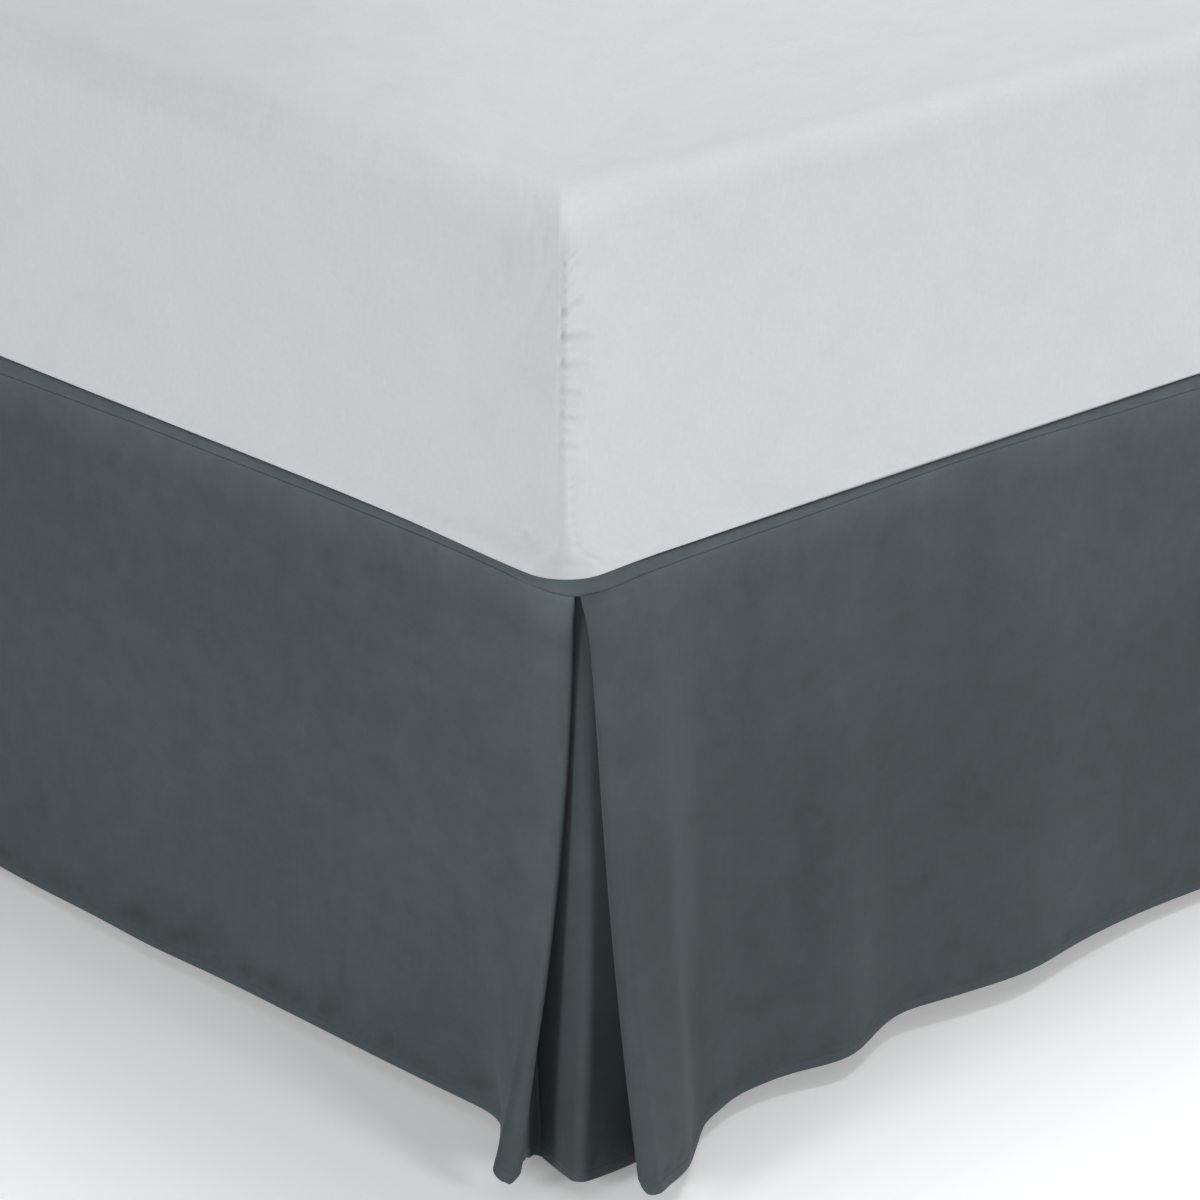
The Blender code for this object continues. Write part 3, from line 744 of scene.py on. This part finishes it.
def makeSkirt():
    half = halfWidth + pleat["startP"] / 1000
    across = graded(((-half, 0.012), (-0.1, 0.010), (0.1, 0.0030), (half, 0.0025)))[1:-1]
    foot = footEnd(leftCorner)[::-1]
    start = len(foot)
    foot += [panelColumn(rightCorner, x - halfWidth, True) for x in across]
    foot += footEnd(rightCorner)

    def footStrong(columns, runs):
        rows = []
        for at, *rest in hang["footPuckers"]:
            near = min(range(start, start + len(across)), key=lambda i: abs(columns[i]["hem"][0] - at))
            rows.append((runs[near] + at - columns[near]["hem"][0], *rest))
        return rows

    def noneStrong(columns, runs):
        return []

    makeHung("drop_foot", foot, "foot", footStrong, 11, False, ["deck_cloth"])
    for word, corner in (("right", rightCorner), ("left", leftCorner)):
        left = corner is leftCorner
        step = 0.010 if left else 0.006
        places = graded(((pleat["endQ"] / 1000, step), (0.75, step), (0.95, 0.012), (bed["length"], 0.012)))
        side = sideStart(corner) + [panelColumn(corner, q, False) for q in places[1:]]
        makeHung("drop_" + word, side, "side", noneStrong, 23 + left, left, ["deck_cloth"])
        makeHung("pleat_insert_" + word, insertColumns(corner), "insert", noneStrong, 31 + left, left,
                 ["drop_foot_cloth", "drop_" + word + "_cloth"])


# ---- deck: the flat cloth and its turned-down edge
deckCloth = {
    # its edge turns down round a small radius to the seam, and is tucked in there
    "turn": 0.0009, "turnSteps": 4, "gap": 0.0002, "tuck": 0.0004, "tuckReach": 0.0014,
    "lipRows": 6, "arcSteps": 24, "turned": (0.022, 0.011),
    # ripples of the lip, and its puckered stretches from the right corner: at, strength, half width
    "seed": 3, "ripples": 7, "rippleRates": (320, 900), "puckerDepth": 0.00055, "leftPuckered": 0.4,
    "puckered": ((-0.50, 1.0, 0.10), (-0.30, 0.35, 0.10), (0.0, 0.25, 0.05), (0.55, 0.8, 0.10),
                 (0.95, 0.5, 0.2), (-0.9, 0.6, 0.2), (1.5, 0.6, 0.2)),
}


def makeDeck():
    d = deckCloth
    dice = random.Random(d["seed"])
    last = halfArc + bed["length"] - bed["corner"]
    fine = graded(((halfArc, 0.004), (0.65, 0.004), (0.9, 0.016), (last, 0.03)))
    coarse = graded(((halfArc, 0.010), (0.65, 0.014), (last, 0.03)))
    arc = [halfArc * (2 * step / d["arcSteps"] - 1) for step in range(d["arcSteps"] + 1)]
    reach = halfWidth - bed["corner"]
    across = graded(((-reach, 0.014), (0.0, 0.010), (0.1, 0.004), (reach, 0.004)))[1:-1]
    stations = [(leftCorner, u) for u in reversed(arc + coarse[1:])]
    stations += [(rightCorner, x - reach - halfArc) for x in across]
    stations += [(rightCorner, u) for u in arc + fine[1:]]
    lines, runs = [], [0.0]
    ripples = [(dice.uniform(*d["rippleRates"]), dice.uniform(0, 6), dice.uniform(0.4, 1.0))
               for _ in range(d["ripples"])]
    for corner, u in stations:
        seam = seamHeight(corner, u) + d["gap"]
        points = []
        for step in range(d["turnSteps"] + 1):
            angle = math.pi / 2 * step / d["turnSteps"]
            fall = d["turn"] * (1 - math.cos(angle))
            points.append((d["turn"] * (1 - math.sin(angle)), bed["deckMiddle"] - fall))
        low = points[-1][1]
        for row in range(1, d["lipRows"] + 1):
            height = low + (seam - low) * (row / d["lipRows"])
            points.append((d["tuck"] * bell(height - seam, d["tuckReach"]), height))
        strength = waves(u, d["puckered"]) if corner is rightCorner else d["leftPuckered"]
        wobble = sum(size * math.sin(u * rate + shift) for rate, shift, size in ripples) / 3
        for index in range(2, len(points) - 1):
            n, height = points[index]
            points[index] = (n - d["puckerDepth"] * strength * wobble, height)
        lines.append([Vector((*corner.world(*seamPoint(u, n)), height)) for n, height in points])
        if len(lines) > 1:
            runs.append(runs[-1] + (lines[-1][3] - lines[-2][3]).length)
    bm, index = gridOf(lines)
    mapCloth(bm, index, runs, [0.30 - 0.001 * row for row in range(len(lines[0]))])
    rim = sorted((column, vert.index, vert) for vert, (column, row) in index.items() if row == 0)
    top = bmesh.ops.contextual_create(bm, geom=[vert for _, _, vert in rim])["faces"]
    layer = bm.loops.layers.uv["cloth"]
    for face in top:
        for loop in face.loops:
            loop[layer].uv = (loop.vert.co.x, 2 + loop.vert.co.y)
    bmesh.ops.recalc_face_normals(bm, faces=bm.faces)
    if top[0].normal.z < 0:
        bmesh.ops.reverse_faces(bm, faces=bm.faces)
    shade = bm.verts.layers.float["shade"]
    for vert, (column, row) in index.items():
        # painted light on the deck's turned edge, counted up from its lower row
        vert[shade] = paintedSkirtShade("deck", 0.0, 1 - row / (len(lines[0]) - 1))
    piece = finishPiece("deck_cloth", bm, materials["skirt"], "deck", 60)
    thicken(piece)
    print("deck")


# ---- mattress in its fitted sheet
mattress = {
    "edgeTop": 0.634, "crown": 0.016, "roundTop": 0.030, "sag": 0.13, "corner": 0.0035,
    # radius of its upright corners by height
    "corners": ((0.0, 0.028), (0.004, 0.0265), (0.024, 0.006), (0.040, 0.0035), (0.195, 0.0035),
                (0.216, 0.006), (0.2376, 0.018)),
    # lower edge as (out, up) from the face and the bottom: along the sides, and at a sagging corner
    "sideEdge": ((-0.012, 0.0), (-0.003, 0.0), (-0.0008, 0.0002), (-0.0001, 0.0012), (0.0, 0.0023)),
    "cornerEdge": ((-0.012, 0.0), (-0.0004, 0.0003), (0.0011, -0.0008), (0.0017, -0.0012),
                   (0.0024, -0.0002)),
    # how far the foot corner's seam leans towards the foot and inwards, by height
    "lean": ((0.0, 0.0030), (0.10, 0.0046), (0.2376, 0.0052)), "leanReach": 0.080,
    # its lower edge rises a little along the right side, by distance from the corner
    "rightRise": ((0.0, 0.0), (0.06, 0.0016), (0.35, 0.0023), (0.62, 0.0016), (1.2, 0.0)),
    # painted light and shade on the cotton: painted shade on the sharp corner, which faces both lamps, in its
    # creases and beside the seam on the foot; painted light and shade along the rounded edge by the side it
    # lies on, and across the top from its left foot corner
    "cornerShade": 0.20, "besideShade": 0.030, "besideReach": 0.08, "pressShade": 38.0,
    "leftEdge": (0.110, 0.2210, 0.0080), "rightEdge": (-0.110, 0.2255, 0.0120),
    "topFrom": ((0.200, 0.0), (0.232, 1.0)),
    "topPaintedLight": ((-1.6, 0.015), (-0.86, 0.020), (-0.70, -0.022), (-0.55, -0.008), (-0.43, 0.038),
                (-0.30, 0.080), (-0.1, 0.088), (0.4, 0.068), (1.8, 0.066)),
    # footRim is a painted shade on the top by the foot's edge
    "footRim": 0.060, "footRimReach": 0.090, "footRimFrom": 0.25, "sideReach": 0.04,
    # its walls bulge a little above the edge, which eases away over a short height; the share of the bulge
    # left on the rounded top edge, and how much an upright corner narrows as the wall stands out
    "bulge": 0.0015, "edgeUp": 0.010, "edgeEase": 0.022, "topBulge": 0.4, "narrowing": 1.15,
    "wallStep": 0.0016, "arcSteps": 9, "reliefTop": 0.236, "dressed": 0.9,
}

# creases of the fitted sheet on its walls: from (u, up), to (u, up), half width, depth
sheetCreases = metres(
    (-36, 233, -26, 227, 2.8, 1.1), (-26, 227, -13.5, 217, 2.6, 1.2),
    (-13.5, 217, -15.5, 199, 2.4, 1), (-27, 215, -28, 188, 3, 0.9), (-50, 205, -52, 170, 4, 0.9),
    (-66, 233, -90, 205, 5, 0.9), (-8.5, 195, -30, 150, 3.5, 0.6), (-29, 24, -10, 16, 3, 0.9),
    (18, 220, 50, 185, 4.5, 0.6), (90, 225, 110, 198, 4.5, 0.7), (-640, 60, -560, 150, 9, 1.4),
    (-600, 30, -540, 110, 8, 1), (-390, 236, -397, 205, 4.5, 1), (-279, 236, -284, 208, 4, 1),
    (-180, 236, -186, 212, 4.5, 0.9), (300, 236, 310, 205, 4.5, 0.7), (520, 236, 505, 200, 5, 0.7))
# puckers off the corner seam on its right, all from one u: from up, to (u, up), half width, depth
seamPuckers = [(0.001, *row) for row in metres(
    (218, 9, 225, 1.6, 1), (209.5, 10, 218, 1.6, 1.3),
    (201, 11, 210.5, 1.6, 1.4), (192.5, 10, 201, 1.6, 1.3), (184, 10, 190.5, 1.8, 1.3),
    (171, 14, 178.5, 2.6, 2.4), (163, 9, 165, 1.8, 1.2), (156, 20, 154.5, 2.8, 2.8), (148, 10, 149, 1.8, 1),
    (139.5, 18, 137.5, 2.8, 2.4), (131, 9, 130.5, 1.8, 1), (123, 15, 119, 2.4, 1.9),
    (115, 11, 112, 1.8, 1.2), (107.5, 14, 103.5, 2.4, 1.8), (98.5, 10, 96, 1.8, 1.1),
    (89.5, 13, 86, 2.2, 1.6), (80, 11, 77.5, 1.9, 1.2))]
# the corner's seam: its groove, a row of stitches beside it, and beads low on its right
cornerSeam = {
    "groove": 0.0006, "grooveReach": 0.0012, "stitch": 0.00022, "stitchAt": (-0.0045, 0.172),
    "stitchReach": (0.0007, 0.03), "beadsTo": 0.012, "beadsAt": 0.0045, "beadsReach": 0.0036,
    "beadsLow": 0.006, "beadsHigh": 0.074, "beadsFade": 0.006, "beadPitch": 0.0072, "beadOut": 0.0012,
    "beadLean": 60, "beadDrift": 1.2, "driftRate": 190,
    "troughFade": 0.7, "troughReach": 0.03,
}


def troughDepth(rows, u, up):
    # depth of the soft troughs drawn from one place on the wall to another
    total = 0.0
    for ua, ha, ub, hb, width, depth in rows:
        if min(ua, ub) - cornerSeam["troughReach"] < u < max(ua, ub) + cornerSeam["troughReach"]:
            du, dh = ub - ua, hb - ha
            near = clamped(((u - ua) * du + (up - ha) * dh) / (du * du + dh * dh))
            gap = math.hypot(u - ua - du * near, up - ha - dh * near)
            if gap < 3 * width:
                total += depth * (1 - cornerSeam["troughFade"] * near) * bell(gap, width)
    return total


def wallRelief(u, up):
    # the corner pocket's seam with its stitches, beads and puckers, and the creases about it
    c = cornerSeam
    if abs(u) > mattress["dressed"]:
        return 0.0
    out = -c["groove"] * bell(u, c["grooveReach"])
    besideU, besideUp = (bell(at - middle, reach)
                         for at, middle, reach in zip((u, up), c["stitchAt"], c["stitchReach"]))
    out -= c["stitch"] * besideU * besideUp
    if 0.0 < u < c["beadsTo"]:
        inside = clamped(min(up - c["beadsLow"], c["beadsHigh"] - up) / c["beadsFade"])
        shift = c["beadLean"] * u + c["beadDrift"] * math.sin(up * c["driftRate"])
        swell = 0.5 + 0.5 * math.cos(math.tau * up / c["beadPitch"] + shift)
        out += c["beadOut"] * inside * swell * bell(u - c["beadsAt"], c["beadsReach"])
    return out - troughDepth(sheetCreases, u, up) - troughDepth(seamPuckers, u, up)


def sheetShade(u, up, place):
    # painted light and shade of the fitted sheet
    m = mattress
    onTop = rowShare(m["topFrom"], up)
    onWall = 1 - onTop
    pressed = 0.0
    if abs(u) < m["dressed"]:
        pressed = troughDepth(sheetCreases, u, up) + troughDepth(seamPuckers, u, up)
    # painted shade on the corner's turn, against its light from both lamps
    turned = (math.sqrt(2) * math.cos(min(abs(u) / m["corner"], math.pi / 4)) - 1) / (math.sqrt(2) - 1)
    tone = 1 - m["cornerShade"] * turned * onWall
    if u < 0:
        tone -= m["besideShade"] * bell(u, m["besideReach"]) * onWall
    side = math.tanh(u / m["sideReach"])
    for share, (level, at, reach) in (((1 - side) / 2, m["leftEdge"]), ((1 + side) / 2, m["rightEdge"])):
        tone += share * level * bell(up - at, reach)
    # painted shade along the top by the foot's edge
    rim = m["footRim"] * math.exp((bed["footY"] - place.y) / m["footRimReach"])
    rim *= 1 - bell(u, m["footRimFrom"])
    # painted light and shade across the top, by x + y
    tone += (rowShare(m["topPaintedLight"], place.x + place.y) - rim) * onTop
    return tone * math.exp(-pressed * m["pressShade"] * onWall)


def roundLength():
    base = mattress["corner"]
    return base * math.tau + 2 * (bed["width"] + bed["length"] - 4 * base)


def outlinePoint(s, out, radius):
    # world place at distance s round the mattress, measured at its wall from the right foot corner's
    # middle, where the upright corners have the given radius; out lies past its face
    base = mattress["corner"]
    here = (s + base * math.pi / 4) % roundLength()
    for quarter, (signX, signY) in enumerate(((1, -1), (1, 1), (-1, 1), (-1, -1))):
        hub = Vector((bed["centreX"] + signX * (halfWidth - radius),
                      middleY + signY * (bed["length"] / 2 - radius)))
        angle = (quarter - 1) * math.pi / 2
        if here <= base * math.pi / 2:
            angle += here / base
            return hub + Vector((math.cos(angle), math.sin(angle))) * (radius + out)
        here -= base * math.pi / 2
        run = (bed["width"] if quarter % 2 else bed["length"]) - 2 * base
        if here <= run or quarter == 3:
            normal = Vector((-math.sin(angle), math.cos(angle)))
            ahead = Vector((-normal.y, normal.x))
            return hub + normal * (radius + out) + ahead * here * (1 + 2 * (base - radius) / run)
        here -= run


def makeMattress():
    m = mattress
    around = roundLength()
    firstHalf = graded(((0.0, 0.0006), (0.004, 0.0008), (0.018, 0.0012), (0.05, 0.004), (0.62, 0.007),
                        (0.9, 0.02), (around / 2, 0.03)))
    back = graded(((0.0, 0.0006), (0.007, 0.0008), (0.055, 0.0014), (0.10, 0.004), (0.72, 0.007), (0.9, 0.02),
                   (around / 2, 0.03)))
    places = firstHalf[:-1] + [around - place for place in reversed(back[1:])]
    height = m["edgeTop"] - bed["mattressBottom"]
    wallUps = graded(((0.008, m["wallStep"]), (height - m["roundTop"], m["wallStep"])))
    insets = graded(((0.004, 0.006), (0.06, 0.014), (0.30, 0.05), (0.70, 0.08)))
    lines = []
    middle = Vector((bed["centreX"], middleY))
    halfX, halfY = halfWidth - m["roundTop"], bed["length"] / 2 - m["roundTop"]
    for s in places:
        u = s if s < around / 2 else s - around
        low = bell(u, m["sag"])
        line = []
        for (outA, upA), (outB, upB) in zip(m["sideEdge"], m["cornerEdge"]):
            rise = rowShare(m["rightRise"], u) if upA > 0 else 0.0
            line.append((outA + (outB - outA) * low, upA + (upB - upA) * low + rise))
        endOut = line[-1][0]
        for up in wallUps:
            ease = math.exp(-max(up - m["edgeUp"], 0.0) / m["edgeEase"])
            bulge = m["bulge"] * math.sin(math.pi * min(up / height, 1.0))
            line.append((endOut * ease + bulge + wallRelief(u, up), up))
        for step in range(1, m["arcSteps"] + 1):
            angle = math.pi / 2 * step / m["arcSteps"]
            up = height - m["roundTop"] + m["roundTop"] * math.sin(angle)
            swell = m["bulge"] * m["topBulge"] + wallRelief(u, min(up, m["reliefTop"]))
            line.append((m["roundTop"] * (math.cos(angle) - 1) + math.cos(angle) * swell, up))
        points = []
        for out, up in line:
            radius = max(rowShare(m["corners"], up), m["corner"] - m["narrowing"] * out)
            place = outlinePoint(s, out, radius)
            lean = rowShare(m["lean"], up) * bell(u, m["leanReach"])
            points.append(Vector((place.x - lean, place.y - lean, bed["mattressBottom"] + up)))
        rim = points[-1].xy - middle
        for inset in insets:
            spot = rim * (1 - inset / halfWidth)
            across, along = spot.x / halfX, spot.y / halfY
            crown = max(0.0, (1 - across ** 4) * (1 - along ** 4))
            points.append(Vector((*(middle + spot), m["edgeTop"] + m["crown"] * crown)))
        lines.append(points)
    lines.append([point.copy() for point in lines[0]])
    upright = [list(reversed(line)) for line in lines]
    bm, index = gridOf(upright)
    runs = places + [around]
    ups = [0.0]
    for a, b in zip(upright[0], upright[0][1:]):
        ups.append(ups[-1] - (a - b).length)
    mapCloth(bm, index, runs, ups)
    shade = bm.verts.layers.float["shade"]
    for vert, (column, row) in index.items():
        s = runs[column]
        u = s if s < around / 2 else s - around
        # painted light and shade of the sheet, stored per vertex
        vert[shade] = sheetShade(u, vert.co.z - bed["mattressBottom"], vert.co)
    closeRound(bm, 0.5)
    piece = finishPiece("mattress_sheeted", bm, materials["sheet"], "mattress")
    print("mattress", len(piece.data.polygons), "faces")


# ---- box spring: ticking stretched over its frame, with a piped edge above and below
boxSpring = {
    "inset": 0.0170, "corner": 0.033, "low": 0.180, "high": 0.394, "cord": 0.0042, "cordUp": 0.0085,
    "cordGap": 0.006, "hollow": 0.0040, "puff": 0.0020, "pull": 0.0009, "pullPitch": 0.085,
    "wallSteps": 12, "cornerSteps": 10, "wallStep": 0.02,
    # rows (out, up) on the bottom before its cord, and on the top after its cord, below its height
    "bottom": ((-0.060, 0.0008), (-0.016, 0.0006)), "top": ((-0.016, 0.0006), (-0.060, 0.0004)),
}


def cordRows(up, first, last):
    # round the piping whose middle is at a height
    turns = [math.radians(angle) for angle in range(first, last + 1, 20)]
    cord = boxSpring["cord"]
    return [(cord * (math.cos(turn) - 1), up + cord * math.sin(turn)) for turn in turns]


def boxProfile(pulled):
    # places (out, up) from the bottom, round the wall, to the top
    b = boxSpring
    height = b["high"] - b["low"]
    wallLow = b["cordUp"] + b["cordGap"]
    rows = [*b["bottom"], *cordRows(b["cordUp"], -100, 120)]
    for step in range(1, b["wallSteps"]):
        share = step / b["wallSteps"]
        swell = math.sin(math.pi * share)
        out = -b["hollow"] + b["puff"] * swell - b["pull"] * pulled * (1 - swell)
        rows.append((out, wallLow + (height - 2 * wallLow) * share))
    rows += cordRows(height - b["cordUp"], -120, 100)
    return rows + [(out, height - down) for out, down in b["top"]]


def makeBoxSpring():
    b = boxSpring
    reachX = halfWidth - b["inset"] - b["corner"]
    reachY = bed["length"] / 2 - b["inset"] - b["corner"]
    stations = []
    for quarter, (signX, signY) in enumerate(((1, -1), (1, 1), (-1, 1), (-1, -1))):
        hub = Vector((bed["centreX"] + signX * reachX, middleY + signY * reachY))
        for step in range(b["cornerSteps"] + 1):
            angle = math.pi / 2 * (quarter - 1 + step / b["cornerSteps"])
            stations.append((hub, Vector((math.cos(angle), math.sin(angle)))))
        run = 2 * (reachX if quarter % 2 else reachY)
        ahead = Vector((-stations[-1][1].y, stations[-1][1].x))
        steps = round(run / b["wallStep"])
        stations += [(hub + ahead * (run * step / steps), stations[-1][1]) for step in range(1, steps)]
    stations.append(stations[0])
    lines, runs = [], [0.0]
    for hub, normal in stations:
        along = hub.x * normal.y - hub.y * normal.x
        pulled = 0.5 + 0.5 * math.cos(math.tau * along / b["pullPitch"])
        line = [Vector((*(hub + normal * (b["corner"] + out)), b["low"] + up))
                for out, up in boxProfile(pulled)]
        if lines:
            runs.append(runs[-1] + (line[10] - lines[-1][10]).length)
        lines.append(line)
    bm, index = gridOf([list(reversed(line)) for line in lines])
    mapCloth(bm, index, runs, [1 - 0.01 * row for row in range(len(lines[0]))])
    closeRound(bm, 0.3)
    piece = finishPiece("box_spring_covered", bm, materials["ticking"], "box_spring")
    print("box spring")


# ---- its ticking, and the legs' wood
tickingLook = {
    "ground": (0.60, 0.585, 0.55), "stripe": (0.40, 0.41, 0.42), "roughness": 0.88, "stripes": 210.0,
    "grainScale": 600.0, "softScale": 7.0, "bump": 0.0004,
}


def tickingMaterial():
    look = tickingLook
    material, shader, start = startMaterial("tickingWeave", look["roughness"], {"Specular IOR Level": 0.2})
    place = start.node("ShaderNodeTexCoord", None, None, 3)
    stripe = (place.part("X") + place.part("Y")).sine(look["stripes"]).ramp(0.55, 0.8)
    grain = place.noise(look["grainScale"], 2.0, 0.7) - 0.5
    soft = place.noise(look["softScale"]) - 0.5
    tone = (stripe * 0.6 + grain * 0.25 + soft * 0.15).clamped()
    feed(shader, colour=tone.mixed(look["ground"], look["stripe"]), roughness=look["roughness"] + grain * 0.1,
         normal=(grain + stripe * 0.4).bump(look["bump"], 0.5))
    return material


woodLook = {
    "dark": (0.085, 0.045, 0.026), "light": (0.25, 0.145, 0.08), "roughness": 0.42,
    "grainScale": (60.0, 60.0, 5.0), "poreScale": (420.0, 420.0, 22.0), "bump": 0.0005,
}


def woodMaterial():
    look = woodLook
    coat = {"Coat Weight": 0.15, "Coat Roughness": 0.35}
    material, shader, start = startMaterial("stainedWood", look["roughness"], coat)
    place = start.node("ShaderNodeTexCoord", None, None, 3)
    grain = place.scaled(look["grainScale"]).noise(1.0, 5.0, 0.6)
    pores = place.scaled(look["poreScale"]).noise(1.0, 2.0, 0.6) - 0.5
    tone = (grain.ramp(0.3, 0.7) + pores * 0.4).clamped()
    feed(shader, colour=tone.mixed(look["dark"], look["light"]), roughness=look["roughness"] + pores * 0.3,
         normal=(grain + pores).bump(look["bump"], 0.4))
    return material


def dressLegs():
    for word in ("foot_left", "foot_right", "middle", "head_left", "head_right"):
        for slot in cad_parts["leg_" + word].material_slots:
            slot.material = materials["wood"]
    print("legs dressed")


makeCamera()
makeStudio()
materials = {"skirt": skirtMaterial(), "sheet": sheetMaterial(),
             "ticking": tickingMaterial(), "wood": woodMaterial()}
dressLegs()
makeDeck()
makeSkirt()
makeMattress()
makeBoxSpring()
